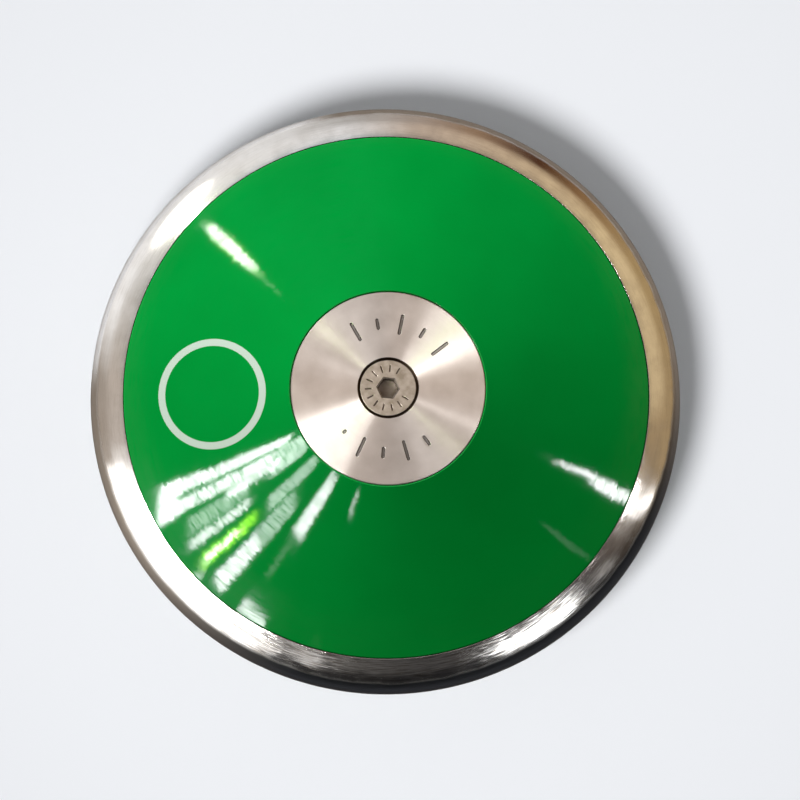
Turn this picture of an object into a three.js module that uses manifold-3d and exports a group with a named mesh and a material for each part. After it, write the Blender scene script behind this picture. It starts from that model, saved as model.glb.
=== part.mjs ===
// A throwing discus with a steel rim, two moulded side plates and two turned centre plates.
// Units are millimetres and +Z is up. The origin is the centre of the disc, on its axis of spin.
// The two sides are alike, so each piece of a side is made once, for the upper side, and the
// lower side is the same geometry turned over about the X axis.

import * as THREE from "three";
import { mergeVertices } from "three/addons/utils/BufferGeometryUtils.js";
import Module from "manifold-3d";

const wasm = await Module();
wasm.setup();

// Overall form
const outerDiameter = 170; // over the steel rim
const centreThickness = 34; // over the two centre plates
const edgeRadius = 6; // the rounding of the rim's outer edge
const rimBandWidth = 10.2; // steel that shows outside each side plate

// Steel rim
const tongueThickness = 2.4; // the flange inside the rim that the side plates clamp
const tongueWidth = 4.6;

// Moulded side plates
const plateWall = 2.4;
const spigotWall = 2; // the ring that centres a side plate in the rim
const bossWall = 2.6;
const ribCount = 12;
const ribRootWidth = 2;
const ribTipWidth = 1.4; // a rib narrows towards its tip, so that it leaves the mould
const ringRibWidth = 1.6;
const ringRibShare = 0.52; // the ring rib's place between the washer pocket and the spigot

// Turned centre plates
const centrePlateDiameter = 54.2;
const centrePlateThickness = 3;
const centreSpigotLength = 4;

// Core and its two countersunk socket screws
const coreDiameter = 20;
const boltDiameter = 8;
const headDiameter = 15.8;
const headLand = 0.4; // the straight edge of the screw's head
const headSink = 0.2; // how far the head lies under the plate's face
const socketAcrossFlats = 5;
const socketDepth = 3;
const socketDrillDepth = 0.9; // the drill point under the hexagon
const socketChamfer = 0.3;
const screwEndSpace = 0.8; // from the screw's point to the middle of the disc

// Trim washers, which bring the discus to its weight
const washerCount = 4;
const washerDiameter = 36;
const washerThickness = 1;

// Clearances and broken edges
const fitGap = 0.12; // round a piece that sits in another
const seatGap = 0.03; // between two faces that bear on each other
const middleGap = 0.15; // from the middle of the disc to the tips of a side plate's ribs
const threadGap = 0.1;
const washerGap = 0.3;
const edgeBreak = 0.3;
const cornerRadius = 1.2; // the fillets inside a side plate
const overrun = 1; // how far a cutter runs past the solid that it cuts

// Facets
const wideSegments = 48;
const narrowSegments = 28;
const edgeArcSteps = 6;
const filletSteps = 2;

// Derived sizes
const outerRadius = outerDiameter / 2;
const faceHeight = centreThickness / 2;
const edgeCentreRadius = outerRadius - edgeRadius;
const centrePlateRadius = centrePlateDiameter / 2;
const rimInnerRadius = outerRadius - rimBandWidth;
const tongueInnerRadius = rimInnerRadius - tongueWidth;
const tongueTop = tongueThickness / 2;
const coreRadius = coreDiameter / 2;
const boltRadius = boltDiameter / 2;
const headRadius = headDiameter / 2;
const washerRadius = washerDiameter / 2;
const boreRadius = coreRadius + fitGap;
const recessFloor = faceHeight - centrePlateThickness;
const coreEnd = recessFloor - centreSpigotLength;
const stackHalf = (washerCount * washerThickness + (washerCount - 1) * seatGap) / 2;

// The flank is the straight taper from the centre plate's edge to the rim's rounding. It passes
// through the edge of the centre plate and is tangent to the circle of the rounding.
const flankRun = edgeCentreRadius - centrePlateRadius;
const flankAngle =
  Math.atan2(faceHeight, flankRun) - Math.asin(edgeRadius / Math.hypot(flankRun, faceHeight));
const flankSlope = Math.tan(flankAngle);
const flankHeight = (radius) => faceHeight - (radius - centrePlateRadius) * flankSlope;
const wallDrop = plateWall / Math.cos(flankAngle);
const ceilingHeight = (radius) => flankHeight(radius) - wallDrop;

const steel = { roughness: 0.2, metalness: 1 };
const rimSteel = new THREE.MeshStandardMaterial({ color: 0xc9c6c2, ...steel });
const coreSteel = new THREE.MeshStandardMaterial({ color: 0x9a9a9c, ...steel });
const stainlessSteel = new THREE.MeshStandardMaterial({ color: 0xa79c92, ...steel });
const turnedAluminium = new THREE.MeshStandardMaterial({
  color: 0xd6cdc6,
  roughness: 0.32,
  metalness: 1,
});
const greenPlastic = new THREE.MeshStandardMaterial({
  color: 0x00832f,
  roughness: 0.22,
  metalness: 0,
});

// A closed mesh with its shared vertices merged, as a solid that can be joined and cut.
function solidOf(geometry) {
  const bare = geometry.clone();
  bare.deleteAttribute("normal");
  bare.deleteAttribute("uv");
  const merged = mergeVertices(bare);
  const mesh = new wasm.Mesh({
    numProp: 3,
    vertProperties: merged.attributes.position.array,
    triVerts: new Uint32Array(merged.index.array),
  });
  return new wasm.Manifold(mesh);
}

// The other way round: the surface of a solid, with one normal for each face.
function geometryOf(solid) {
  const mesh = solid.getMesh();
  const indexed = new THREE.BufferGeometry();
  indexed.setAttribute("position", new THREE.BufferAttribute(mesh.vertProperties, 3));
  indexed.setIndex(new THREE.BufferAttribute(mesh.triVerts, 1));
  const geometry = indexed.toNonIndexed();
  geometry.computeVertexNormals();
  return geometry;
}

// A section in (radius, height), turned about the Z axis. It runs anticlockwise round the solid.
function turned(section, segments) {
  const points = section.getPoints(filletSteps);
  const geometry = new THREE.LatheGeometry(points, segments);
  geometry.rotateX(Math.PI / 2);
  return geometry;
}

// A corner of a section, rounded with an arc where the section turns by a right angle.
function roundCorner(path, x, y, fromX, fromY, toX, toY) {
  path.lineTo(x + fromX, y + fromY);
  path.quadraticCurveTo(x, y, x + toX, y + toY);
}

// The rim: a rounded outer edge, the start of both flanks, a seat for each side plate, and the
// tongue between the two seats.
function rimGeometry() {
  const arcEnd = Math.PI / 2 - flankAngle;
  const upper = [];
  for (let step = 0; step <= edgeArcSteps; step++) {
    const angle = (arcEnd * step) / edgeArcSteps;
    upper.push([edgeCentreRadius + edgeRadius * Math.cos(angle), edgeRadius * Math.sin(angle)]);
  }
  const brokenRadius = rimInnerRadius + edgeBreak;
  upper.push([brokenRadius, flankHeight(brokenRadius)]);
  upper.push([rimInnerRadius, flankHeight(brokenRadius) - edgeBreak]);
  upper.push([rimInnerRadius, tongueTop]);
  upper.push([tongueInnerRadius + edgeBreak, tongueTop]);
  upper.push([tongueInnerRadius, tongueTop - edgeBreak]);
  const lower = upper
    .slice(1)
    .reverse()
    .map(([radius, height]) => [radius, -height]);
  const section = new THREE.Path();
  section.setFromPoints([...upper, ...lower, upper[0]].map((p) => new THREE.Vector2(...p)));
  return turned(section, wideSegments);
}

// Radii and heights inside a side plate that several of its features share.
const plateEdgeRadius = rimInnerRadius - fitGap;
const plateSeatRadius = centrePlateRadius + fitGap;
const landHeight = tongueTop + seatGap;
const spigotOuterRadius = tongueInnerRadius - fitGap;
const spigotInnerRadius = spigotOuterRadius - spigotWall;
const recessUnderside = recessFloor - plateWall;
const recessOuterRadius = plateSeatRadius + plateWall;
const bossRadius = boreRadius + bossWall;
const bossEnd = stackHalf + seatGap;
const pocketRadius = washerRadius + washerGap;

// The shell of a side plate: the flank, the land that lies on the rim's tongue, the spigot that
// centres it there, the hollow underside, and the boss round the core.
function sidePlateShell() {
  const r = cornerRadius;
  const section = new THREE.Path();
  section.moveTo(boreRadius, bossEnd);
  section.lineTo(bossRadius, bossEnd);
  roundCorner(section, bossRadius, recessUnderside, 0, -r, r, 0);
  section.lineTo(recessOuterRadius, recessUnderside);
  section.lineTo(recessOuterRadius, ceilingHeight(recessOuterRadius));
  roundCorner(section, spigotInnerRadius, ceilingHeight(spigotInnerRadius), -r, r * flankSlope, 0, -r);
  section.lineTo(spigotInnerRadius, middleGap);
  section.lineTo(spigotOuterRadius - edgeBreak, middleGap);
  section.lineTo(spigotOuterRadius, middleGap + edgeBreak);
  section.lineTo(spigotOuterRadius, landHeight);
  section.lineTo(plateEdgeRadius, landHeight);
  section.lineTo(plateEdgeRadius, flankHeight(plateEdgeRadius) - edgeBreak);
  section.lineTo(plateEdgeRadius - edgeBreak, flankHeight(plateEdgeRadius - edgeBreak));
  section.lineTo(plateSeatRadius + edgeBreak, flankHeight(plateSeatRadius + edgeBreak));
  section.lineTo(plateSeatRadius, flankHeight(plateSeatRadius) - edgeBreak);
  section.lineTo(plateSeatRadius, recessFloor);
  section.lineTo(boreRadius, recessFloor);
  section.closePath();
  return solidOf(turned(section, wideSegments));
}

// The space under the shell that ribs may fill, down to the washer pocket and to the middle.
function ribSpace() {
  const sink = plateWall / 2; // ribs are rooted this deep in the walls that they meet
  const section = new THREE.Path();
  section.moveTo(bossRadius - sink, bossEnd);
  section.lineTo(pocketRadius, bossEnd);
  section.lineTo(pocketRadius, middleGap);
  section.lineTo(spigotInnerRadius + sink, middleGap);
  section.lineTo(spigotInnerRadius + sink, ceilingHeight(spigotInnerRadius + sink) + sink);
  section.lineTo(recessOuterRadius, ceilingHeight(recessOuterRadius) + sink);
  section.lineTo(recessOuterRadius - sink, recessUnderside + sink);
  section.lineTo(bossRadius - sink, recessUnderside + sink);
  section.closePath();
  return solidOf(turned(section, wideSegments));
}

// One radial rib: a tapered bar along +X, from the axis to past the spigot.
function ribBar() {
  const section = new THREE.Shape();
  section.moveTo(-ribTipWidth / 2, middleGap);
  section.lineTo(ribTipWidth / 2, middleGap);
  section.lineTo(ribRootWidth / 2, faceHeight);
  section.lineTo(-ribRootWidth / 2, faceHeight);
  section.closePath();
  const bar = new THREE.ExtrudeGeometry(section, { depth: outerRadius, bevelEnabled: false });
  bar.rotateX(Math.PI / 2);
  bar.rotateZ(Math.PI / 2);
  return bar;
}

// A ring of the given inner radius, standing over the whole height of the rib space.
function ringBar(innerRadius) {
  const section = new THREE.Path();
  section.moveTo(innerRadius, 0);
  section.lineTo(innerRadius + ringRibWidth, 0);
  section.lineTo(innerRadius + ringRibWidth, faceHeight);
  section.lineTo(innerRadius, faceHeight);
  section.closePath();
  return solidOf(turned(section, wideSegments));
}

// A whole side plate: the shell, its radial ribs and its two ring ribs.
function sidePlateGeometry() {
  const ringRibRadius = THREE.MathUtils.lerp(pocketRadius, spigotInnerRadius, ringRibShare);
  let bars = ringBar(pocketRadius).add(ringBar(ringRibRadius));
  for (let rib = 0; rib < ribCount; rib++) {
    const bar = ribBar();
    bar.rotateZ((2 * Math.PI * (rib + 1 / 2)) / ribCount);
    bars = bars.add(solidOf(bar));
  }
  return geometryOf(sidePlateShell().add(bars.intersect(ribSpace())));
}

// The countersink follows the screw's head, so the mouth is as wide as the head and its sink need.
const sinkMouthRadius = headRadius + headSink + headLand + threadGap;
const screwHoleRadius = boltRadius + fitGap;

// A centre plate: a flat turned disc with a spigot on the core and a countersink for the screw.
function centrePlateGeometry() {
  const underside = recessFloor + seatGap;
  const spigotEnd = coreEnd + seatGap;
  const section = new THREE.Path();
  section.moveTo(sinkMouthRadius, faceHeight);
  section.lineTo(screwHoleRadius, faceHeight - (sinkMouthRadius - screwHoleRadius));
  section.lineTo(screwHoleRadius, spigotEnd);
  section.lineTo(coreRadius - edgeBreak, spigotEnd);
  section.lineTo(coreRadius, spigotEnd + edgeBreak);
  section.lineTo(coreRadius, underside);
  section.lineTo(centrePlateRadius, underside);
  section.lineTo(centrePlateRadius, faceHeight - edgeBreak);
  section.lineTo(centrePlateRadius - edgeBreak, faceHeight);
  section.closePath();
  return turned(section, wideSegments);
}

// A hexagonal prism or cone on the Z axis, with two of its flats facing along Y.
function hexagon(acrossFlatsTop, acrossFlatsBottom, height) {
  const cornerShare = 1 / Math.cos(Math.PI / 6) / 2; // from across flats to a corner's radius
  const top = acrossFlatsTop * cornerShare;
  const bottom = acrossFlatsBottom * cornerShare;
  const prism = new THREE.CylinderGeometry(top, bottom, height, 6);
  prism.rotateX(Math.PI / 2);
  prism.rotateZ(Math.PI / 2);
  return prism;
}

// A countersunk screw: head, shank and the hexagon socket with its chamfer and drill point.
function screwGeometry() {
  const headTop = faceHeight - headSink;
  const coneTop = headTop - headLand;
  const section = new THREE.Path();
  section.moveTo(0, screwEndSpace);
  section.lineTo(boltRadius - edgeBreak, screwEndSpace);
  section.lineTo(boltRadius, screwEndSpace + edgeBreak);
  section.lineTo(boltRadius, coneTop - (headRadius - boltRadius));
  section.lineTo(headRadius, coneTop);
  section.lineTo(headRadius, headTop - headLand / 2);
  section.lineTo(headRadius - headLand / 2, headTop);
  section.lineTo(0, headTop);
  const blank = solidOf(turned(section, narrowSegments));

  const socket = hexagon(socketAcrossFlats, socketAcrossFlats, socketDepth + overrun);
  socket.translate(0, 0, headTop + (overrun - socketDepth) / 2);
  const mouthWidth = socketAcrossFlats + 2 * (socketChamfer + overrun);
  const mouth = hexagon(mouthWidth, socketAcrossFlats, socketChamfer + overrun);
  mouth.translate(0, 0, headTop + (overrun - socketChamfer) / 2);
  const drill = new THREE.ConeGeometry(socketAcrossFlats / 2, socketDrillDepth, narrowSegments);
  drill.rotateX(-Math.PI / 2);
  drill.translate(0, 0, headTop - socketDepth - socketDrillDepth / 2);
  return geometryOf(
    blank.subtract(solidOf(socket)).subtract(solidOf(mouth)).subtract(solidOf(drill)),
  );
}

// The core: a steel barrel, tapped right through for both screws.
function coreGeometry() {
  const tappedRadius = boltRadius + threadGap;
  const section = new THREE.Path();
  section.moveTo(tappedRadius, edgeBreak - coreEnd);
  section.lineTo(tappedRadius + edgeBreak, -coreEnd);
  section.lineTo(coreRadius - edgeBreak, -coreEnd);
  section.lineTo(coreRadius, edgeBreak - coreEnd);
  section.lineTo(coreRadius, coreEnd - edgeBreak);
  section.lineTo(coreRadius - edgeBreak, coreEnd);
  section.lineTo(tappedRadius + edgeBreak, coreEnd);
  section.lineTo(tappedRadius, coreEnd - edgeBreak);
  section.closePath();
  return turned(section, narrowSegments);
}

// A trim washer, lying on the plane z = 0.
function washerGeometry() {
  const section = new THREE.Path();
  section.moveTo(coreRadius + washerGap, 0);
  section.lineTo(washerRadius, 0);
  section.lineTo(washerRadius, washerThickness);
  section.lineTo(coreRadius + washerGap, washerThickness);
  section.closePath();
  return turned(section, narrowSegments);
}

function piece(name, geometry, material) {
  const mesh = new THREE.Mesh(geometry, material);
  mesh.name = name;
  return mesh;
}

// The pieces of one side, in the place that they have on the upper side.
const sideGeometries = {
  side_plate: sidePlateGeometry(),
  centre_plate: centrePlateGeometry(),
  screw: screwGeometry(),
};
const sideMaterials = {
  side_plate: greenPlastic,
  centre_plate: turnedAluminium,
  screw: stainlessSteel,
};

function side(sideName) {
  const group = new THREE.Group();
  for (const [pieceName, geometry] of Object.entries(sideGeometries)) {
    group.add(piece(sideName + "_" + pieceName, geometry, sideMaterials[pieceName]));
  }
  return group;
}

const discus = new THREE.Group();
discus.add(piece("rim", rimGeometry(), rimSteel));
discus.add(piece("core", coreGeometry(), coreSteel));
discus.add(side("upper"));
const lowerSide = side("lower");
lowerSide.rotation.x = Math.PI;
discus.add(lowerSide);

const washer = washerGeometry();
for (let number = 1; number <= washerCount; number++) {
  const mesh = piece("trim_washer_" + number, washer, coreSteel);
  mesh.position.z = -stackHalf + (number - 1) * (washerThickness + seatGap);
  discus.add(mesh);
}

export default discus;
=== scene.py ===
# A throwing discus on a pale floor: turned steel rim, lacquered moulded side plates, faced aluminium
# centre plates and stainless socket screws, in a studio whose window stands to the lower left.
import functools
import math
import bpy
import numpy as np
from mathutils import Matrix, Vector


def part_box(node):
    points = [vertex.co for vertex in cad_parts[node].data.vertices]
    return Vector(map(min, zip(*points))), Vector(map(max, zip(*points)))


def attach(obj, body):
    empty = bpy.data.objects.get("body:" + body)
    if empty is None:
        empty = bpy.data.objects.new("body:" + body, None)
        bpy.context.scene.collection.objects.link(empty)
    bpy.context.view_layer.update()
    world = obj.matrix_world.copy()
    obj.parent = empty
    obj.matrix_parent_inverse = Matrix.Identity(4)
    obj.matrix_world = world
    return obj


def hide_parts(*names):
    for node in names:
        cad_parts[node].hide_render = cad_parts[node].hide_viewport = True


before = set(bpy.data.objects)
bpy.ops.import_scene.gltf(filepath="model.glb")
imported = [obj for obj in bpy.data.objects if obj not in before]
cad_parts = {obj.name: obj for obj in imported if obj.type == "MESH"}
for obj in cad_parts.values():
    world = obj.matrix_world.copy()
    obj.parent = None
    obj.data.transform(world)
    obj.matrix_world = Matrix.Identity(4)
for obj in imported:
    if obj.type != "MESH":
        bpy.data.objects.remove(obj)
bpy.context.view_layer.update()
body = "root"
mm = 0.001  # metres in a millimetre
scene = bpy.context.scene


# The CAD's own sizes: how far a node reaches from the axis of spin, and how high
def reachOf(node):
    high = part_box(node)[1]
    return high.x, high.z


outerRadius = reachOf("rim")[0]
plateRadius, faceHeight = reachOf("upper_centre_plate")
sidePlateRadius = reachOf("upper_side_plate")[0]
coreRadius, coreEnd = reachOf("core")
headRadius, headTop = reachOf("upper_screw")
washerRadius = reachOf("trim_washer_1")[0]
stackHalf = reachOf("trim_washer_4")[1]
print("sizes read from the frame")

guardShare = 0.12  # how far from its arc a guard point lies, as a share of the rounding
sharpAngle = 32  # the least angle in degrees between two faces that makes their edge sharp
weldDistance = 0.0005 * mm
noTilt = 0.5  # the noise at which tiltedNormal leaves the normal as it is


# Rounds the corners of a closed outline in (radius, height). A corner is (radius, height, rounding,
# steps). Its arc leaves the first side at rounding * tan(turn / 2) before the corner and turns about
# a centre that lies one rounding to the inside of the turn. A guard point close to each end of the
# arc keeps the flat sides flat in smooth shading.
def roundedOutline(corners):
    points = np.array([corner[:2] for corner in corners], float)
    before = points - np.roll(points, 1, 0)
    after = np.roll(points, -1, 0) - points
    before /= np.linalg.norm(before, axis=1)[:, None]
    after /= np.linalg.norm(after, axis=1)[:, None]
    cross = before[:, 0] * after[:, 1] - before[:, 1] * after[:, 0]
    turns = np.arctan2(cross, (before * after).sum(1))
    arcs = []
    for point, way, follow, turn, corner in zip(points, before, after, turns, corners):
        rounding, steps = corner[2:]
        if not rounding:
            arcs.append(point[None])
            continue
        inside = np.sign(turn) * np.array([-way[1], way[0]])
        start = point - way * rounding * math.tan(abs(turn) / 2)
        angle = np.linspace(0, turn, steps + 1)[:, None]
        side = np.array([-inside[1], inside[0]])
        arc = start + rounding * (inside - inside * np.cos(angle) - side * np.sin(angle))
        guard = guardShare * rounding
        arcs.append(np.concatenate([arc[:1] - way * guard, arc, arc[-1:] + follow * guard]))
    return np.concatenate(arcs)


# Carries an outline round the axis: point (r, z) at angle a becomes (r cos a, r sin a, z).
def revolved(radius, height, angle):
    radius, height, angle = np.broadcast_arrays(radius, height, angle)
    return np.stack([radius * np.cos(angle), radius * np.sin(angle), height], 2)


# The angles of evenly spaced lines round the axis
def linesRound(count):
    return 2 * math.pi * np.arange(count)[None] / count


# A mesh over a grid of points, shaped (outline point, line, xyz). Both ways round it closes on
# itself, unless the outline is open, and then its two ends lie on the axis and become poles.
def skinned(name, grid, openOutline=False):
    rings, lines = grid.shape[:2]
    ring = np.arange(rings - 1 if openOutline else rings)[:, None]
    line = np.arange(lines)[None]
    nextRing, nextLine = (ring + 1) % rings, (line + 1) % lines
    here, there = ring * lines, nextRing * lines
    corners = np.broadcast_arrays(here + line, here + nextLine, there + nextLine, there + line)
    faces = np.stack(corners, 2).reshape(-1, 4)
    mesh = bpy.data.meshes.new(name)
    mesh.from_pydata(grid.reshape(-1, 3).tolist(), [], faces.tolist())
    piece = bpy.data.objects.new(name, mesh)
    scene.collection.objects.link(piece)
    bpy.context.view_layer.objects.active = piece
    weld = piece.modifiers.new("weld", "WELD")
    weld.merge_threshold = weldDistance
    bpy.ops.object.modifier_apply(modifier=weld.name)
    piece.data.shade_smooth()
    piece.data.set_sharp_from_angle(angle=math.radians(sharpAngle))
    return piece


# The same grid for the lower side: turned over about the X axis
def turnedOver(grid):
    return grid * np.array([1, -1, -1])


# Gives a piece its material and the body, and hides the CAD node that it stands for
def settle(piece, node, material):
    piece.data.materials.append(material)
    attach(piece, body)
    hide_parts(node)
    return piece


# An sRGB hex colour as the linear colour that Blender's sockets take. A value s becomes
# ((s + 0.055) / 1.055)^2.4, or s / 12.92 where it is at most 0.04045.
def linear(hexColour):
    srgb = np.array([int(hexColour[i:i + 2], 16) for i in (1, 3, 5)]) / 255
    value = np.where(srgb > 0.04045, ((srgb + 0.055) / 1.055) ** 2.4, srgb / 12.92)
    return (*value.tolist(), 1)


# Adds a shader node and gives one of its outputs. Inputs are named or numbered; a socket is linked
# and anything else is set.
def addNode(tree, kind, inputs, output=0, **settings):
    node = tree.nodes.new("ShaderNode" + kind)
    for key, value in settings.items():
        setattr(node, key, value)
    for key, value in inputs.items():
        if isinstance(value, bpy.types.NodeSocket):
            tree.links.new(value, node.inputs[key])
        else:
            node.inputs[key].default_value = value
    return node.outputs[output] if node.outputs else None


# Empties the nodes of a material or a world, and gives the function that adds to them
def nodesOf(owner):
    owner.use_nodes = True
    owner.node_tree.nodes.clear()
    return functools.partial(addNode, owner.node_tree)


def newMaterial(name):
    material = bpy.data.materials.new(name)
    return material, nodesOf(material)


# Polar coordinates of a piece: its point, the distance from the axis, and the direction from the
# axis as a unit vector, which has no seam
def polar(add):
    place = add("TexCoord", {}, "Object")
    flat = add("VectorMath", {0: place, 1: (1, 1, 0)}, operation="MULTIPLY")
    radius = add("VectorMath", {0: flat}, "Value", operation="LENGTH")
    way = add("VectorMath", {0: flat}, operation="NORMALIZE")
    return place, radius, way


# Lines left by a tool that ran round the axis. Noise is stretched round it: one cell is a line
# width from line to line, and the given number of cells fill a radian along the line.
def turningLines(add, radius, way, lineWidth, cellsPerRadian, detail):
    across = add("Math", {0: radius, 1: lineWidth}, operation="DIVIDE")
    shift = add("CombineXYZ", {2: across})
    along = add("VectorMath", {0: way, "Scale": cellsPerRadian}, operation="SCALE")
    point = add("VectorMath", {0: along, 1: shift}, operation="ADD")
    return add("TexNoise", {"Vector": point, "Scale": 1, "Detail": detail})


# The surface normal, tilted a little from ring to ring as a lathe tool leaves it: by the first noise
# along the rings and by the second across them. A tilt is the tangent of its angle at noise 0 or 1.
def tiltedNormal(add, way, noises, alongTilt, acrossTilt):
    along = add("VectorMath", {0: (0, 0, 1), 1: way}, operation="CROSS_PRODUCT")
    normal = add("NewGeometry", {}, "Normal")
    for direction, value, tilt in ((along, noises[0], alongTilt), (way, noises[1], acrossTilt)):
        amount = add("Math", {0: value, 1: 2 * tilt, 2: -tilt}, operation="MULTIPLY_ADD")
        push = add("VectorMath", {0: direction, "Scale": amount}, operation="SCALE")
        normal = add("VectorMath", {0: normal, 1: push}, operation="ADD")
    return add("VectorMath", {0: normal}, operation="NORMALIZE")


# How far a surface turns to an azimuth: 0 to 1 as the cosine of the angle between them runs from low
# to high
def towards(add, way, azimuth, low, high):
    side = (math.cos(math.radians(azimuth)), math.sin(math.radians(azimuth)), 0)
    facing = add("VectorMath", {0: way, 1: side}, "Value", operation="DOT_PRODUCT")
    return add("MapRange", {0: facing, 1: low, 2: high}, interpolation_type="SMOOTHSTEP")


# The camera, as four circles of the discus place it in the photograph. Its tilt is in degrees, and its
# lens is as long, against the sensor's width, as the focal length in pixels against the picture's.
camera = {
    "height": 450 * mm, "aside": (-9.57 * mm, -57.6 * mm), "tilt": (7.13, -1.70),
    "focalPixels": 1571.5, "imagePixels": 800, "sensorWidth": 36,
}
eye = bpy.data.cameras.new("eye")
eye.sensor_width = camera["sensorWidth"]
eye.lens = camera["focalPixels"] / camera["imagePixels"] * camera["sensorWidth"]
eyeObject = bpy.data.objects.new("eye", eye)
eyeObject.location = (*camera["aside"], camera["height"])
eyeObject.rotation_euler = [math.radians(angle) for angle in camera["tilt"]] + [0]
scene.collection.objects.link(eyeObject)
scene.camera = eyeObject
print("camera placed")


rim = {
    "edgeRadius": 6 * mm, "seatGap": 0.12 * mm, "tongueThickness": 2.4 * mm, "tongueWidth": 4.6 * mm,
    "corner": 0.12 * mm, "noseSteps": 64, "noseCrowding": 1.6, "fineSteps": 4001, "cornerSteps": 4,
    "lines": 480, "buffingFade": 5,
}
rimInnerRadius = sidePlateRadius + rim["seatGap"]

# The flank passes through the centre plate's edge and is tangent to the rim's rounding. Its angle is
# that of the line from this edge to the rounding's centre, less asin(rounding / this line's length).
flankRun = outerRadius - rim["edgeRadius"] - plateRadius
flankAngle = math.atan2(faceHeight, flankRun)
flankAngle -= math.asin(rim["edgeRadius"] / math.hypot(flankRun, faceHeight))
flankSlope = math.tan(flankAngle)


def flankHeight(radius):
    return faceHeight - (radius - plateRadius) * flankSlope


# The buffed side of the rim, from its inner edge to the nose. Its slope turns from the flank's to
# upright, and the radius of curvature a + b e^(-turn / fade) shrinks on the way: a and b are those
# that make it end at the rim's outer radius and at mid height. Its points crowd at the inner edge.
def buffedSide():
    start = rimInnerRadius + rim["corner"]
    top = flankHeight(start)
    fine = np.linspace(flankAngle, math.pi / 2, rim["fineSteps"])
    step = fine[1] - fine[0]
    fading = np.exp((flankAngle - fine) / math.radians(rim["buffingFade"]))
    moves = np.stack([np.cos(fine), -np.sin(fine)])
    plain, faded = (
        np.concatenate([np.zeros((2, 1)), np.cumsum((way[:, 1:] + way[:, :-1]) * step / 2, 1)], 1)
        for way in (moves, moves * fading)
    )
    a, b = np.linalg.solve(np.stack([plain[:, -1], faded[:, -1]], 1), [outerRadius - start, -top])
    path = np.array([[start], [top]]) + a * plain + b * faded
    shares = np.linspace(0, 1, rim["noseSteps"]) ** rim["noseCrowding"]
    turns = flankAngle + (math.pi / 2 - flankAngle) * shares
    return np.stack([np.interp(turns, fine, row) for row in path], 1)


# The rim's outline, upper side first
def rimOutline():
    corner, steps = rim["corner"], rim["cornerSteps"]
    tongueTop, tongueInner = rim["tongueThickness"] / 2, rimInnerRadius - rim["tongueWidth"]
    side = buffedSide()
    inner = roundedOutline([
        (*side[1], 0, 0), (*side[0], 0, 0),
        (rimInnerRadius, flankHeight(rimInnerRadius), corner, steps),
        (rimInnerRadius, tongueTop, corner / 2, steps),
        (tongueInner, tongueTop, corner, steps),
        (tongueInner, -tongueTop, corner, steps),
        (rimInnerRadius, -tongueTop, corner / 2, steps),
        (rimInnerRadius, -flankHeight(rimInnerRadius), corner, steps),
        (side[0, 0], -side[0, 1], 0, 0), (side[1, 0], -side[1, 1], 0, 0),
    ])
    return np.concatenate([side[:1:-1], inner, side[2:-1] * (1, -1)])
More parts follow.
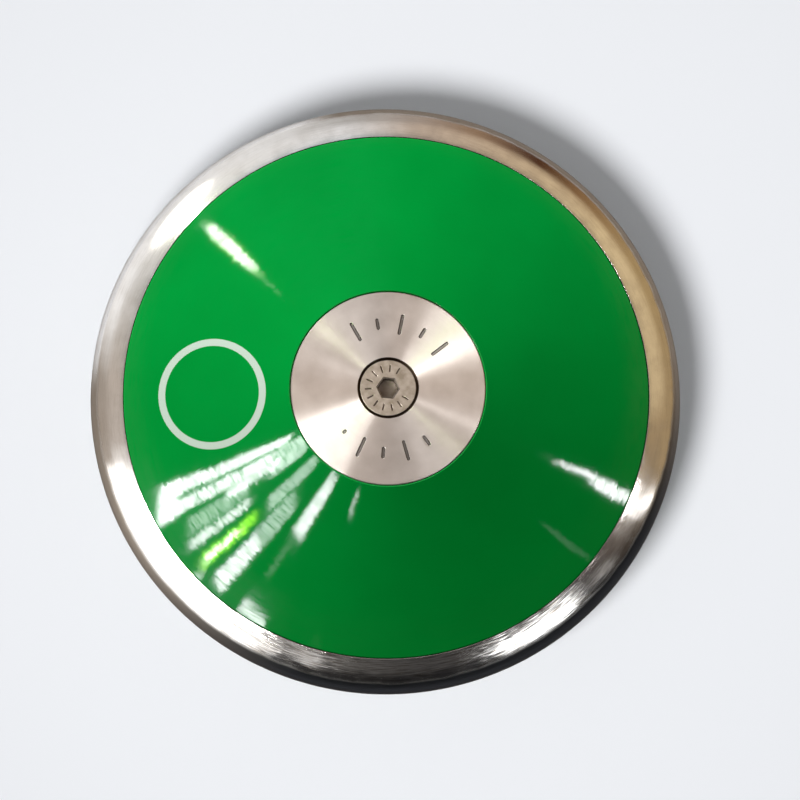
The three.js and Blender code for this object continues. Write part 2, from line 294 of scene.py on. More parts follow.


# Turned and polished steel: bright, with fine lines round the rim and soft wipe marks, which give
# highlights a brushed grain at the foot, where the discus is dragged. The upper half of the nose is
# dull and brown where it lands and darkest at the foot, and it is still polished on the far side:
# this is partly wear and mostly painted dark reflection of a dim room, set by azimuth and height.
# Grime lies in the seam at the inner edge. The lines are drawn coarser than real ones, so that they
# show. Places round the rim are (azimuth, low, high), as towards() takes them.
def polishedTurnedSteel():
    look = {
        # The dull and dark colours are painted dark reflection on the nose.
        "steel": "#f0ece8", "stain": "#bdb4aa", "dull": "#94887c", "paintedDarkest": "#36373a", "grime": "#4a4640",
        "edgeTint": "#b4b0ac", "rough": 0.1, "smearRough": 0.07, "wornRough": 0.25, "stretch": 0.5,
        "lineWidth": 0.28 * mm, "grainCells": (24, 15), "alongTilt": 0.04, "acrossTilt": 0.11,
        "brushed": (-85, 0.5, 0.85), "leastGrain": 0.15, "scratchCells": 12, "scratches": (0.48, 0.7),
        "smearCell": 6 * mm, "smears": (0.4, 0.75), "smearStain": 0.3,
        # Where the nose's painted dark reflection lies round the rim, and how far in it reaches
        "paintedDarkSide": (-40, -0.87, -0.76), "foot": (-68, 0.1, 0.8), "footReach": 0.8 * mm, "fray": 0.3 * mm,
        "noseStart": 81.8 * mm, "noseEnd": 83.1 * mm, "brightBelow": -4 * mm,
    }
    material, add = newMaterial("polishedTurnedSteel")
    place, radius, way = polar(add)
    smears = add("TexNoise", {"Vector": place, "Scale": 1 / look["smearCell"], "Detail": 5})
    smears = add("MapRange", {0: smears, 1: look["smears"][0], 2: look["smears"][1]})

    # Wear and painted dark reflection on the nose: it reaches farther in at the foot, and wipe marks fray
    # its edge.
    foot = towards(add, way, *look["foot"])
    reach = add("Math", {0: foot, 1: look["footReach"], 2: radius}, operation="MULTIPLY_ADD")
    reach = add("Math", {0: smears, 1: look["fray"], 2: reach}, operation="MULTIPLY_ADD")
    nose = {0: reach, 1: look["noseStart"], 2: look["noseEnd"]}
    nose = add("MapRange", nose, interpolation_type="SMOOTHSTEP")
    worn = add("Math", {0: nose, 1: towards(add, way, *look["paintedDarkSide"])}, operation="MULTIPLY")
    # Only the nose's upper half, above brightBelow, gets the painted dark reflection.
    upper = add("MapRange", {0: add("SeparateXYZ", {0: place}, 2), 1: look["brightBelow"], 2: 0})
    worn = add("Math", {0: worn, 1: upper}, operation="MULTIPLY")
    # The painted dark reflection's colour: dull brown, and darkest at the foot.
    wear = {"Factor": foot, "A": linear(look["dull"]), "B": linear(look["paintedDarkest"])}
    wear = add("Mix", wear, 2, data_type="RGBA")

    # Grain, stain and grime
    grain = add("MapRange", {0: towards(add, way, *look["brushed"]), 3: look["leastGrain"]})
    noises = [
        turningLines(add, radius, way, look["lineWidth"], cells, detail=3) for cells in look["grainCells"]
    ]
    noises = [add("Mix", {"Factor": grain, "A": noTilt, "B": noise}) for noise in noises]
    scratches = turningLines(add, radius, way, look["lineWidth"], look["scratchCells"], detail=2)
    scratches = add("MapRange", {0: scratches, 1: look["scratches"][0], 2: look["scratches"][1]})
    scratches = add("Math", {0: scratches, 1: grain}, operation="MULTIPLY")
    stain = {0: smears, 1: look["smearStain"], 2: scratches}
    stain = add("Math", stain, operation="MULTIPLY_ADD", use_clamp=True)
    polish = {"Factor": stain, "A": linear(look["steel"]), "B": linear(look["stain"])}
    polish = add("Mix", polish, 2, data_type="RGBA")
    # Polished steel, or the painted dark reflection on the nose
    colour = add("Mix", {"Factor": worn, "A": polish, "B": wear}, 2, data_type="RGBA")
    seam = {0: radius, 1: rimInnerRadius + rim["corner"], 2: rimInnerRadius + rim["corner"] / 2}
    seam = add("MapRange", seam)
    colour = add("Mix", {"Factor": seam, "A": colour, "B": linear(look["grime"])}, 2, data_type="RGBA")
    rough = add("Math", {0: smears, 1: look["smearRough"], 2: look["rough"]}, operation="MULTIPLY_ADD")
    rough = add("Math", {0: worn, 1: look["wornRough"], 2: rough}, operation="MULTIPLY_ADD")
    shader = add("BsdfPrincipled", {
        "Base Color": colour, "Metallic": 1, "Roughness": rough, "Specular Tint": linear(look["edgeTint"]),
        "Anisotropic": look["stretch"], "Anisotropic Rotation": 0.25,
        "Tangent": add("Tangent", {}, direction_type="RADIAL", axis="Z"),
        "Normal": tiltedNormal(add, way, noises, look["alongTilt"], look["acrossTilt"]),
    })
    add("OutputMaterial", {"Surface": shader})
    return material


outline = rimOutline()
ring = skinned("rim_fine", revolved(outline[:, :1], outline[:, 1:], linesRound(rim["lines"])))
settle(ring, "rim", polishedTurnedSteel())
print("rim turned")


sidePlate = {
    "wall": 2.4 * mm, "spigotWall": 2 * mm, "bossWall": 2.6 * mm, "fitGap": 0.12 * mm, "seatGap": 0.03 * mm,
    "middleGap": 0.15 * mm, "washerGap": 0.3 * mm, "plateThickness": 3 * mm, "corner": 0.3 * mm,
    "fillet": 1.2 * mm, "cornerSteps": 4, "filletSteps": 6, "ribCount": 12, "ribRoot": 2 * mm,
    "ribTip": 1.4 * mm, "ringRib": 1.6 * mm, "ringRibShare": 0.52, "linesPerRib": 40,
}


# Two outlines with the same number of points: one through a hollow and one along a radial rib,
# where the underside comes down to the rib's tip. Both share the flank, the land and the spigot.
def sidePlateOutlines():
    p = sidePlate
    corner, few, fillet, many = p["corner"], p["cornerSteps"], p["fillet"], p["filletSteps"]
    drop = p["wall"] / math.cos(flankAngle)  # the sloping wall, measured straight down
    seat, bore = plateRadius + p["fitGap"], coreRadius + p["fitGap"]
    recessFloor = faceHeight - p["plateThickness"]
    under, recessOuter = recessFloor - p["wall"], seat + p["wall"]
    boss, bossEnd = bore + p["bossWall"], stackHalf + p["seatGap"]
    spigotOuter = rimInnerRadius - rim["tongueWidth"] - p["fitGap"]
    spigotInner = spigotOuter - p["spigotWall"]
    pocket, tip = washerRadius + p["washerGap"], p["middleGap"]
    ringRib = pocket + (spigotInner - pocket) * p["ringRibShare"]
    land = rim["tongueThickness"] / 2 + p["seatGap"]

    def ceiling(radius):
        return flankHeight(radius) - drop

    hollow = [(boss, bossEnd, 0, 0), (boss, under, fillet, many)]
    pocketOuter, ringRibOuter = pocket + p["ringRib"], ringRib + p["ringRib"]
    hollow += [(pocket, under, 0, 0), (pocket, tip, 0, 0)]
    hollow += [(pocketOuter, tip, 0, 0), (pocketOuter, under, 0, 0)]
    hollow += [(recessOuter, under, 0, 0), (recessOuter, ceiling(recessOuter), 0, 0)]
    hollow += [(ringRib, ceiling(ringRib), 0, 0), (ringRib, tip, 0, 0)]
    hollow += [(ringRibOuter, tip, 0, 0), (ringRibOuter, ceiling(ringRibOuter), 0, 0)]
    hollow += [(spigotInner, ceiling(spigotInner), fillet, many), (spigotInner, tip, 0, 0)]
    rest = [
        (spigotOuter, tip, corner, few), (spigotOuter, land, 0, 0), (sidePlateRadius, land, 0, 0),
        (sidePlateRadius, flankHeight(sidePlateRadius), corner, few),
        (seat, flankHeight(seat), corner, few), (seat, recessFloor, 0, 0), (bore, recessFloor, 0, 0),
        (bore, bossEnd, 0, 0),
    ]
    inHollow = roundedOutline(hollow + rest)
    underside = (inHollow[:, 0] >= boss) & (inHollow[:, 0] <= spigotInner)
    underside &= inHollow[:, 1] < ceiling(inHollow[:, 0]) + drop / 2
    underside[np.argmax(inHollow[:, 0] > spigotInner):] = False
    alongRib = inHollow.copy()
    floor = np.where(inHollow[:, 0] < pocket, bossEnd, tip)
    alongRib[underside, 1] = np.minimum(inHollow[:, 1], floor)[underside]
    return inHollow, alongRib


# The grid of a side plate. In each sector between two ribs the lines run from the tip of one rib to
# its root, across the hollow, and from the next rib's root to its tip. A rib keeps its width, so a
# line beside it lies at the angle asin(width / 2 / r) from the rib's middle.
def sidePlateGrid():
    p = sidePlate
    inHollow, alongRib = sidePlateOutlines()
    sector = 2 * math.pi / p["ribCount"]
    radius = inHollow[:, :1]
    tipAngle = np.arcsin(p["ribTip"] / 2 / radius)
    rootAngle = np.arcsin(p["ribRoot"] / 2 / radius)
    share = np.linspace(0, 1, p["linesPerRib"] - 2)[None]
    across = rootAngle + share * (sector - 2 * rootAngle)
    angle = np.concatenate([tipAngle, across, sector - tipAngle], 1)
    onRib = np.zeros(angle.shape[1], bool)
    onRib[[0, -1]] = True
    height = np.where(onRib, alongRib[:, 1:], inHollow[:, 1:])
    start = sector * (np.arange(p["ribCount"]) + 0.5)
    angle = (start[None, :, None] + angle[:, None, :]).reshape(len(radius), -1)
    return revolved(radius, np.tile(height, p["ribCount"]), angle)


# ABS moulded in green, skimmed on a lathe and lacquered: a deep, even green under a gloss that
# mirrors lamps and windows as bars along the radius. The fine rings of the lathe fray the long edges
# of those bars and cross them with hairlines. Real rings are finer than a pixel, so they are drawn at
# about one.
def lacqueredMouldedAbs(name, printed):
    look = {
        "green": "#00822b", "deepGreen": "#007c28", "flowCell": 24 * mm, "flow": (0.3, 0.7), "rough": 0.5,
        "lineWidth": 0.16 * mm, "grainCells": (6, 7), "alongTilt": 0.01, "acrossTilt": 0.0005,
        "hairlineCells": 11, "hairlines": (0.36, 0.52), "lacquer": (0.08, 0.5), "lacquerRough": 0.035,
        "ink": "#bcbca0", "ringCentre": (-49.3 * mm, -1.25 * mm), "ringRadius": 15.6 * mm,
        "ringWidth": 2 * mm, "ringEdge": 0.08 * mm,
    }
    material, add = newMaterial(name)
    place, radius, way = polar(add)
    flow = add("TexNoise", {"Vector": place, "Scale": 1 / look["flowCell"], "Detail": 3})
    flow = add("MapRange", {0: flow, 1: look["flow"][0], 2: look["flow"][1]})
    green = {"Factor": flow, "A": linear(look["green"]), "B": linear(look["deepGreen"])}
    colour = add("Mix", green, 2, data_type="RGBA")
    if printed:
        # The band of a circle on the cone: its slope stretches distances along the radius.
        shift = add("VectorMath", {0: place, 1: (*look["ringCentre"], 0)}, operation="SUBTRACT")
        scaled = add("VectorMath", {0: shift, 1: (math.cos(flankAngle), 1, 1)}, operation="DIVIDE")
        flat = add("VectorMath", {0: scaled, 1: (1, 1, 0)}, operation="MULTIPLY")
        away = add("VectorMath", {0: flat}, "Value", operation="LENGTH")
        half, edge = look["ringWidth"] / 2, look["ringEdge"]
        offMiddle = add("Math", {0: away, 1: look["ringRadius"] - half}, operation="SUBTRACT")
        offMiddle = add("Math", {0: offMiddle}, operation="ABSOLUTE")
        band = add("MapRange", {0: offMiddle, 1: half + edge, 2: half - edge})
        colour = add("Mix", {"Factor": band, "A": colour, "B": linear(look["ink"])}, 2, data_type="RGBA")
    noises = [
        turningLines(add, radius, way, look["lineWidth"], cells, detail=1) for cells in look["grainCells"]
    ]
    hairlines = turningLines(add, radius, way, look["lineWidth"], look["hairlineCells"], detail=1)
    (low, high), (least, most) = look["hairlines"], look["lacquer"]
    lacquer = add("MapRange", {0: hairlines, 1: low, 2: high, 3: least, 4: most})
    shader = add("BsdfPrincipled", {
        "Base Color": colour, "Roughness": look["rough"], "IOR": 1.54, "Specular IOR Level": 0,
        "Coat Weight": lacquer, "Coat Roughness": look["lacquerRough"], "Coat IOR": 1.5,
        "Coat Normal": tiltedNormal(add, way, noises, look["alongTilt"], look["acrossTilt"]),
    })
    add("OutputMaterial", {"Surface": shader})
    return material


printedAbs = lacqueredMouldedAbs("lacqueredMouldedAbsPrinted", True)
plainAbs = lacqueredMouldedAbs("lacqueredMouldedAbs", False)
grid = sidePlateGrid()
upperPlate = skinned("upper_side_plate_fine", grid)
settle(upperPlate, "upper_side_plate", printedAbs)
lowerPlate = skinned("lower_side_plate_fine", turnedOver(grid))
settle(lowerPlate, "lower_side_plate", plainAbs)
print("side plates moulded")


burrAt, burrWidth = 1.5, 0.8  # the middle and the width of a stamped burr, counted in walls


# Depth of stamped strokes below a face. A stroke is a segment. From halfWidth to halfWidth + wall off
# it, f falls from 1 to 0, and the depth is f * f * (3 - 2f) of the full one. A low burr lies beyond:
# its height at d walls is e^-((d - burrAt) / burrWidth)^2 of the tool's.
def stampedDepth(x, y, strokes, tool):
    depth = np.zeros(np.broadcast_shapes(x.shape, y.shape))
    for startX, startY, endX, endY in strokes:
        runX, runY = endX - startX, endY - startY
        share = ((x - startX) * runX + (y - startY) * runY) / (runX ** 2 + runY ** 2)
        share = np.clip(share, 0, 1)
        away = np.hypot(x - startX - share * runX, y - startY - share * runY) - tool["halfWidth"]
        fall = np.clip(1 - away / tool["wall"], 0, 1)
        sunk = tool["depth"] * fall ** 2 * (3 - 2 * fall)
        burr = tool["burr"] * np.exp(-((away / tool["wall"] - burrAt) / burrWidth) ** 2)
        depth = np.maximum(depth, sunk) - np.where(sunk > 0, 0, burr)
    return depth


# Strokes in polar places: (azimuth in degrees, inner radius, outer radius)
def polarStrokes(places):
    azimuth, inner, outer = np.array(places).T
    x, y = np.cos(np.radians(azimuth)), np.sin(np.radians(azimuth))
    return np.stack([inner * x, inner * y, outer * x, outer * y], 1)


centrePlate = {
    "thickness": 3 * mm, "seatGap": 0.03 * mm, "holeRadius": 4.12 * mm, "headSink": 0.2 * mm,
    "headLand": 0.4 * mm, "threadGap": 0.1 * mm, "corner": 0.3 * mm, "cornerSteps": 4,
    "plainLines": 360, "stampedLines": 760, "crowding": 9, "crowdWidth": 2.4, "crowdSteps": 7201,
    "stampInner": 14.6 * mm, "stampOuter": 21.6 * mm, "stampRings": 80, "unstampedRings": 3,
    "plainRings": 12,
    "markInner": 15.7 * mm, "markOuter": 20.6 * mm, "shortInset": 1.3 * mm,
    "topMarks": (120, 37.5, 5), "bottomMarks": (245.5, 306, 4), "loneDot": (225.5, 17 * mm, 17.4 * mm),
}
stampTool = {"depth": 0.3 * mm, "halfWidth": 0.26 * mm, "wall": 0.24 * mm, "burr": 0.04 * mm}


# Graduation marks: long and short bars take turns along each arc, and a dot stands alone.
def plateStrokes():
    p = centrePlate
    places = [p["loneDot"]]
    for first, last, count in (p["topMarks"], p["bottomMarks"]):
        for number, azimuth in enumerate(np.linspace(first, last, count)):
            inset = p["shortInset"] * (number % 2)
            places.append((azimuth, p["markInner"] + inset, p["markOuter"] - inset))
    return places


# Lines round the axis that crowd at the marks. Their density is 1 plus crowding * e^-(d / width)^4 at
# d degrees from the nearest mark, and the lines stand where its running total rises by equal steps.
def crowdedLines(azimuths):
    p = centrePlate
    angle = np.linspace(0, 360, p["crowdSteps"])
    away = np.abs(np.mod(angle[:, None] - np.array(azimuths)[None] + 180, 360) - 180)
    density = 1 + p["crowding"] * np.exp(-(away / p["crowdWidth"]) ** 4).max(1)
    total = np.concatenate([[0], np.cumsum((density[1:] + density[:-1]) / 2)])
    steps = total[-1] * np.arange(p["stampedLines"]) / p["stampedLines"]
    return np.radians(np.interp(steps, total, angle))[None]


# The centre plate: a flat disc with a spigot and a countersink of 90 degrees. The rings of the face
# lie close where it is stamped.
def centrePlateGrid(stamped):
    p = centrePlate
    corner, few = p["corner"], p["cornerSteps"]
    underside, spigotEnd = faceHeight - p["thickness"] + p["seatGap"], coreEnd + p["seatGap"]
    mouth = headRadius + p["headSink"] + p["headLand"] + p["threadGap"]
    middleRings = p["stampRings"] if stamped else p["unstampedRings"]
    rings = np.concatenate([
        np.linspace(plateRadius - 2 * corner, p["stampOuter"], p["plainRings"], endpoint=False),
        np.linspace(p["stampOuter"], p["stampInner"], middleRings, endpoint=False),
        np.linspace(p["stampInner"], mouth + corner, p["plainRings"]),
    ])
    outline = roundedOutline([
        (mouth, faceHeight, corner / 3, few),
        (p["holeRadius"], faceHeight - mouth + p["holeRadius"], 0, 0),
        (p["holeRadius"], spigotEnd, 0, 0), (coreRadius, spigotEnd, corner, few),
        (coreRadius, underside, 0, 0), (plateRadius, underside, 0, 0),
        (plateRadius, faceHeight, corner, few),
        *[(radius, faceHeight, 0, 0) for radius in rings],
    ])
    places = plateStrokes()
    lines = crowdedLines([place[0] for place in places]) if stamped else linesRound(p["plainLines"])
    grid = revolved(outline[:, :1], outline[:, 1:], lines)
    if stamped:
        face, strokes = slice(-len(rings), None), polarStrokes(places)
        grid[face, :, 2] -= stampedDepth(grid[face, :, 0], grid[face, :, 1], strokes, stampTool)
    return grid


# Aluminium faced on a lathe: the feed marks run round the axis, so a lamp shows as a pair of
# wedges on either side of the centre. Their flanks lean outward, so the two wedges differ. The stamped
# marks are darker, fully on their walls and less on their floors, and grease lies in the countersink.
def facedAluminium():
    look = {
        "aluminium": "#e4dbd5", "worn": "#d6ccc5", "wearCell": 6 * mm, "wear": (0.3, 0.7), "rough": 0.28,
        "wornRough": 0.03, "lineWidth": 0.3 * mm, "lineCells": 3, "lean": 0.05, "leaning": (0.3, 0.7),
        "markDark": "#1e1814", "markDarkFrom": 0.03 * mm, "markDarkFull": 0.1 * mm, "markFloor": (0.24 * mm, 0.29 * mm),
        "floorDarkShare": 0.7, "cleanEdge": (2 * mm, 3 * mm),
        "grease": "#4d3e33", "greaseRadius": (8.6 * mm, 8.45 * mm),
    }
    material, add = newMaterial("facedAluminium")
    place, radius, way = polar(add)
    wear = add("TexNoise", {"Vector": place, "Scale": 1 / look["wearCell"], "Detail": 5})
    wear = add("MapRange", {0: wear, 1: look["wear"][0], 2: look["wear"][1]})
    metal = {"Factor": wear, "A": linear(look["aluminium"]), "B": linear(look["worn"])}
    colour = add("Mix", metal, 2, data_type="RGBA")
    # Darker in the stamped marks: fully on their walls, less on their floors, and not near the plate's
    # rounded edge.
    height = add("Math", {0: add("SeparateXYZ", {0: place}, 2)}, operation="ABSOLUTE")
    sunk = add("MapRange", {0: height, 1: faceHeight - look["markDarkFrom"], 2: faceHeight - look["markDarkFull"]})
    floorStart, floorEnd = (faceHeight - depth for depth in look["markFloor"])
    floorShare = {0: height, 1: floorStart, 2: floorEnd, 3: 1, 4: look["floorDarkShare"]}
    darkened = add("Math", {0: sunk, 1: add("MapRange", floorShare)}, operation="MULTIPLY")
    cleanStart, cleanEnd = (plateRadius - width for width in look["cleanEdge"])
    onFace = add("MapRange", {0: radius, 1: cleanStart, 2: cleanEnd})
    darkened = add("Math", {0: darkened, 1: onFace}, operation="MULTIPLY")
    colour = add("Mix", {"Factor": darkened, "A": colour, "B": linear(look["markDark"])}, 2, data_type="RGBA")
    greasy = add("MapRange", {0: radius, 1: look["greaseRadius"][0], 2: look["greaseRadius"][1]})
    colour = add("Mix", {"Factor": greasy, "A": colour, "B": linear(look["grease"])}, 2, data_type="RGBA")
    lines = turningLines(add, radius, way, look["lineWidth"], look["lineCells"], detail=3)
    leaning = add("MapRange", {0: lines, 1: look["leaning"][0], 2: look["leaning"][1], 3: noTilt})
    rough = add("Math", {0: wear, 1: look["wornRough"], 2: look["rough"]}, operation="MULTIPLY_ADD")
    shader = add("BsdfPrincipled", {
        "Base Color": colour, "Metallic": 1, "Roughness": rough,
        "Anisotropic": 1, "Anisotropic Rotation": 0.25,
        "Normal": tiltedNormal(add, way, (noTilt, leaning), 0, look["lean"]),
        "Tangent": add("Tangent", {}, direction_type="RADIAL", axis="Z"),
    })
    add("OutputMaterial", {"Surface": shader})
    return material


faced = facedAluminium()
upperCentre = skinned("upper_centre_plate_fine", centrePlateGrid(True))
settle(upperCentre, "upper_centre_plate", faced)
lowerCentre = skinned("lower_centre_plate_fine", turnedOver(centrePlateGrid(False)))
settle(lowerCentre, "lower_centre_plate", faced)
print("centre plates faced")


screw = {
    "boltRadius": 4 * mm, "pitch": 1.25 * mm, "threadDepth": 0.6 * mm, "headLand": 0.4 * mm,
    "endSpace": 0.8 * mm, "corner": 0.2 * mm, "acrossFlats": 5 * mm, "socketDepth": 3 * mm,
    "drillDepth": 0.9 * mm, "drillShare": 0.92, "socketChamfer": 0.42 * mm, "edgeShare": 0.3,
    "lines": 360, "shankRings": 60, "faceRings": 34,
    "turn": -5, "tickInner": 4.7 * mm, "tickOuter": 6.3 * mm, "ticks": (60, 330, 12),
}
tickTool = {"depth": 0.09 * mm, "halfWidth": 0.1 * mm, "wall": 0.14 * mm, "burr": 0}


# A screw, from the point up. Each ring of the outline has a share of hexagon: at angle a a hexagon
# of inner radius r reaches r / cos(a mod 60 - 30), and the ring lies between that and the circle.
# The thread's depth follows a triangle wave of height / pitch - a / 360.
def screwGrid():
    p = screw
    bolt, flat, step = p["boltRadius"], p["acrossFlats"] / 2, p["corner"]
    coneTop = headTop - p["headLand"]
    coneFoot = coneTop - (headRadius - bolt)
    shank = np.linspace(p["endSpace"] + step, coneFoot, p["shankRings"])
    face = np.linspace(headRadius - step, flat + 2 * p["socketChamfer"], p["faceRings"])
    floor = headTop - p["socketDepth"]
    edge = p["edgeShare"] * step
    profile = [
        (0, p["endSpace"], 0), (bolt - 2 * step, p["endSpace"], 0),
        *[(bolt, height, 0) for height in shank],
        (headRadius, coneTop, 0), (headRadius, headTop - step, 0), (headRadius - edge, headTop - edge, 0),
        *[(radius, headTop, 0) for radius in face],
        (flat + p["socketChamfer"], headTop, 1), (flat, headTop - p["socketChamfer"], 1), (flat, floor, 1),
        (p["drillShare"] * flat, floor, 0), (0, floor - p["drillDepth"], 0),
    ]
    radius, height, hexShare = (column[:, None] for column in np.array(profile).T)
    angle = linesRound(p["lines"])
    corner = math.pi / 3
    hexagon = radius / np.cos(np.mod(angle, corner) - corner / 2)
    ringRadius = radius + hexShare * (hexagon - radius)
    wave = np.abs(np.mod(height / p["pitch"] - angle / (2 * math.pi), 1) - 0.5) * 2
    fade = np.clip((coneFoot - height) / p["pitch"], 0, 1) * (radius == bolt)
    ringRadius = ringRadius - p["threadDepth"] * wave * fade
    grid = revolved(ringRadius, height, angle + math.radians(p["turn"]))
    onFace = (height[:, 0] == headTop) & (hexShare[:, 0] == 0)
    azimuths = np.linspace(*p["ticks"])
    ticks = polarStrokes([(azimuth, p["tickInner"], p["tickOuter"]) for azimuth in azimuths])
    grid[onFace, :, 2] -= stampedDepth(grid[onFace, :, 0], grid[onFace, :, 1], ticks, tickTool)
    return grid


# Stainless steel, headed cold and tumbled: a grainy satin grey-brown, dark in the stamped ticks and with
# grease round the head, and with painted shade in the socket, darker the deeper it goes.
def headedStainless():
    look = {
        "stainless": "#b9ada2", "dull": "#97897c", "stainCell": 2.4 * mm, "stain": (0.35, 0.7),
        "rough": 0.34, "dullRough": 0.12, "grainCell": 0.7 * mm, "grainDepth": 0.006 * mm,
        "grease": "#3a2e26", "tickDepths": (0.01 * mm, 0.05 * mm), "inTicks": 0.85, "tickMargin": 0.4 * mm,
        "socketDepths": (0.25 * mm, 1.6 * mm), "socketShade": 0.75, "rimDirt": 0.25 * mm,
    }
    material, add = newMaterial("headedStainless")
    place, radius, way = polar(add)
    grain = add("TexNoise", {"Vector": place, "Scale": 1 / look["grainCell"], "Detail": 4})
    stain = add("TexNoise", {"Vector": place, "Scale": 1 / look["stainCell"], "Detail": 3})
    stain = add("MapRange", {0: stain, 1: look["stain"][0], 2: look["stain"][1]})
    metal = {"Factor": stain, "A": linear(look["stainless"]), "B": linear(look["dull"])}
    colour = add("Mix", metal, 2, data_type="RGBA")
    height = add("Math", {0: add("SeparateXYZ", {0: place}, 2)}, operation="ABSOLUTE")
    # Darker in the ticks, and painted shade in the socket that deepens with depth
    inTicks, socketShade = (
        add("MapRange", {0: height, 1: headTop - start, 2: headTop - end, 4: look[most]})
        for (start, end), most in ((look["tickDepths"], "inTicks"), (look["socketDepths"], "socketShade"))
    )
    rimDirt = add("MapRange", {0: radius, 1: headRadius - look["rimDirt"], 2: headRadius})
    tickZone = {0: radius, 1: screw["tickInner"] - look["tickMargin"]}
    tickZone = add("Math", tickZone, operation="GREATER_THAN")
    darkened = add("Math", {0: inTicks, 1: tickZone}, operation="MULTIPLY")
    for other in (socketShade, rimDirt):
        darkened = add("Math", {0: darkened, 1: other}, operation="MAXIMUM")
    # The grease colour also serves as the socket's painted shade.
    colour = add("Mix", {"Factor": darkened, "A": colour, "B": linear(look["grease"])}, 2, data_type="RGBA")
    rough = add("Math", {0: stain, 1: look["dullRough"], 2: look["rough"]}, operation="MULTIPLY_ADD")
    shader = add("BsdfPrincipled", {
        "Base Color": colour, "Metallic": 1, "Roughness": rough,
        "Normal": add("Bump", {"Height": grain, "Distance": look["grainDepth"], "Strength": 1}),
    })
    add("OutputMaterial", {"Surface": shader})
    return material


stainless = headedStainless()
grid = screwGrid()
upperScrew = skinned("upper_screw_fine", grid, openOutline=True)
settle(upperScrew, "upper_screw", stainless)
lowerScrew = skinned("lower_screw_fine", turnedOver(grid), openOutline=True)
settle(lowerScrew, "lower_screw", stainless)
print("screws cut")


# Zinc-plated steel: a cool bright grey with the faint cloudiness of the plating.
def zincPlatedSteel():
    look = {
        "zinc": "#b4b8bd", "cloud": "#9c9fa3", "cloudCell": 3 * mm, "clouds": (0.35, 0.65), "rough": 0.32,
        "lineWidth": 0.3 * mm, "lineCells": 3, "lineDepth": 0.001 * mm,
    }
    material, add = newMaterial("zincPlatedSteel")
    place, radius, way = polar(add)
    cloud = add("TexNoise", {"Vector": place, "Scale": 1 / look["cloudCell"], "Detail": 4})
    cloud = add("MapRange", {0: cloud, 1: look["clouds"][0], 2: look["clouds"][1]})
    lines = turningLines(add, radius, way, look["lineWidth"], look["lineCells"], detail=2)
    plating = {"Factor": cloud, "A": linear(look["zinc"]), "B": linear(look["cloud"])}
    shader = add("BsdfPrincipled", {
        "Base Color": add("Mix", plating, 2, data_type="RGBA"), "Metallic": 1, "Roughness": look["rough"],
        "Normal": add("Bump", {"Height": lines, "Distance": look["lineDepth"], "Strength": 1}),
    })
    add("OutputMaterial", {"Surface": shader})
    return material


zinc = zincPlatedSteel()
for nodeName in ["core"] + [f"trim_washer_{number}" for number in range(1, 5)]:
    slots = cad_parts[nodeName].data.materials
    slots.clear()
    slots.append(zinc)
print("core and washers plated")


# The floor: matt pale board, as pale as the photograph's background. It takes the shadow near the
# discus, and farther off, camera and gloss see its plain colour, so that it stays pale to the horizon.
# Its half side and the radii where that starts and ends are in metres.
floorLook = {
    "colour": "#edeff3", "rough": 0.9, "halfSide": 4.0, "below": 0.1 * mm, "plainFrom": 0.2,
    "plainBeyond": 0.42, "seenBy": ("Is Camera Ray", "Is Glossy Ray", "Is Transmission Ray"),
}


def floorBoard():
    half, level = floorLook["halfSide"], -faceHeight - floorLook["below"]
    mesh = bpy.data.meshes.new("floor")
    corners = [(-half, -half, level), (half, -half, level), (half, half, level), (-half, half, level)]
    mesh.from_pydata(corners, [], [(0, 1, 2, 3)])
    board = bpy.data.objects.new("floor", mesh)
    scene.collection.objects.link(board)
    material, add = newMaterial("mattBoard")
    colour = linear(floorLook["colour"])
    lit = {"Base Color": colour, "Roughness": floorLook["rough"], "Specular IOR Level": 0}
    lit = add("BsdfPrincipled", lit)
    plain = add("Emission", {"Color": colour, "Strength": 1})
    far = {0: polar(add)[1], 1: floorLook["plainFrom"], 2: floorLook["plainBeyond"]}
    far = add("MapRange", far, interpolation_type="SMOOTHSTEP")
    seen = 0
    for kind in floorLook["seenBy"]:
        seen = add("Math", {0: seen, 1: add("LightPath", {}, kind)}, use_clamp=True)
    share = add("Math", {0: far, 1: seen}, operation="MULTIPLY")
    add("OutputMaterial", {"Surface": add("MixShader", {0: share, 1: lit, 2: plain})})
    mesh.materials.append(material)
    return board


# The way from the discus to azimuth a and zenith angle z, in degrees: (sin z cos a, sin z sin a, cos z)
def wayTo(azimuth, zenith):
    azimuth, zenith = math.radians(azimuth), math.radians(zenith)
    aside = math.sin(zenith)
    return Vector((aside * math.cos(azimuth), aside * math.sin(azimuth), math.cos(zenith)))


# Gives a lamp a place or a way to shine from, keeps it out of gloss, and lights the given objects alone
def placeLamp(lamp, place, aim, receivers):
    stand = bpy.data.objects.new(lamp.name, lamp)
    stand.visible_glossy = stand.visible_camera = False
    stand.location = place
    stand.rotation_euler = aim.to_track_quat("Z", "Y").to_euler()
    scene.collection.objects.link(stand)
    lit = bpy.data.collections.new(lamp.name + "Receivers")
    for receiver in receivers:
        lit.objects.link(receiver)
    stand.light_linking.receiver_collection = lit


# Soft daylight on matt surfaces: how wide its source looks in degrees, and the light that it throws
# on a level board, where 1 shows a colour as it is written. Its strength is pi * level / cos(zenith).
def softDaylight(azimuth, zenith, spread, level, colour, receivers):
    lamp = bpy.data.lights.new("daylight", "SUN")
    lamp.angle = math.radians(spread)
    lamp.energy = math.pi * level / math.cos(math.radians(zenith))
    lamp.color = linear(colour)[:3]
    placeLamp(lamp, (0, 0, 0), wayTo(azimuth, zenith), receivers)


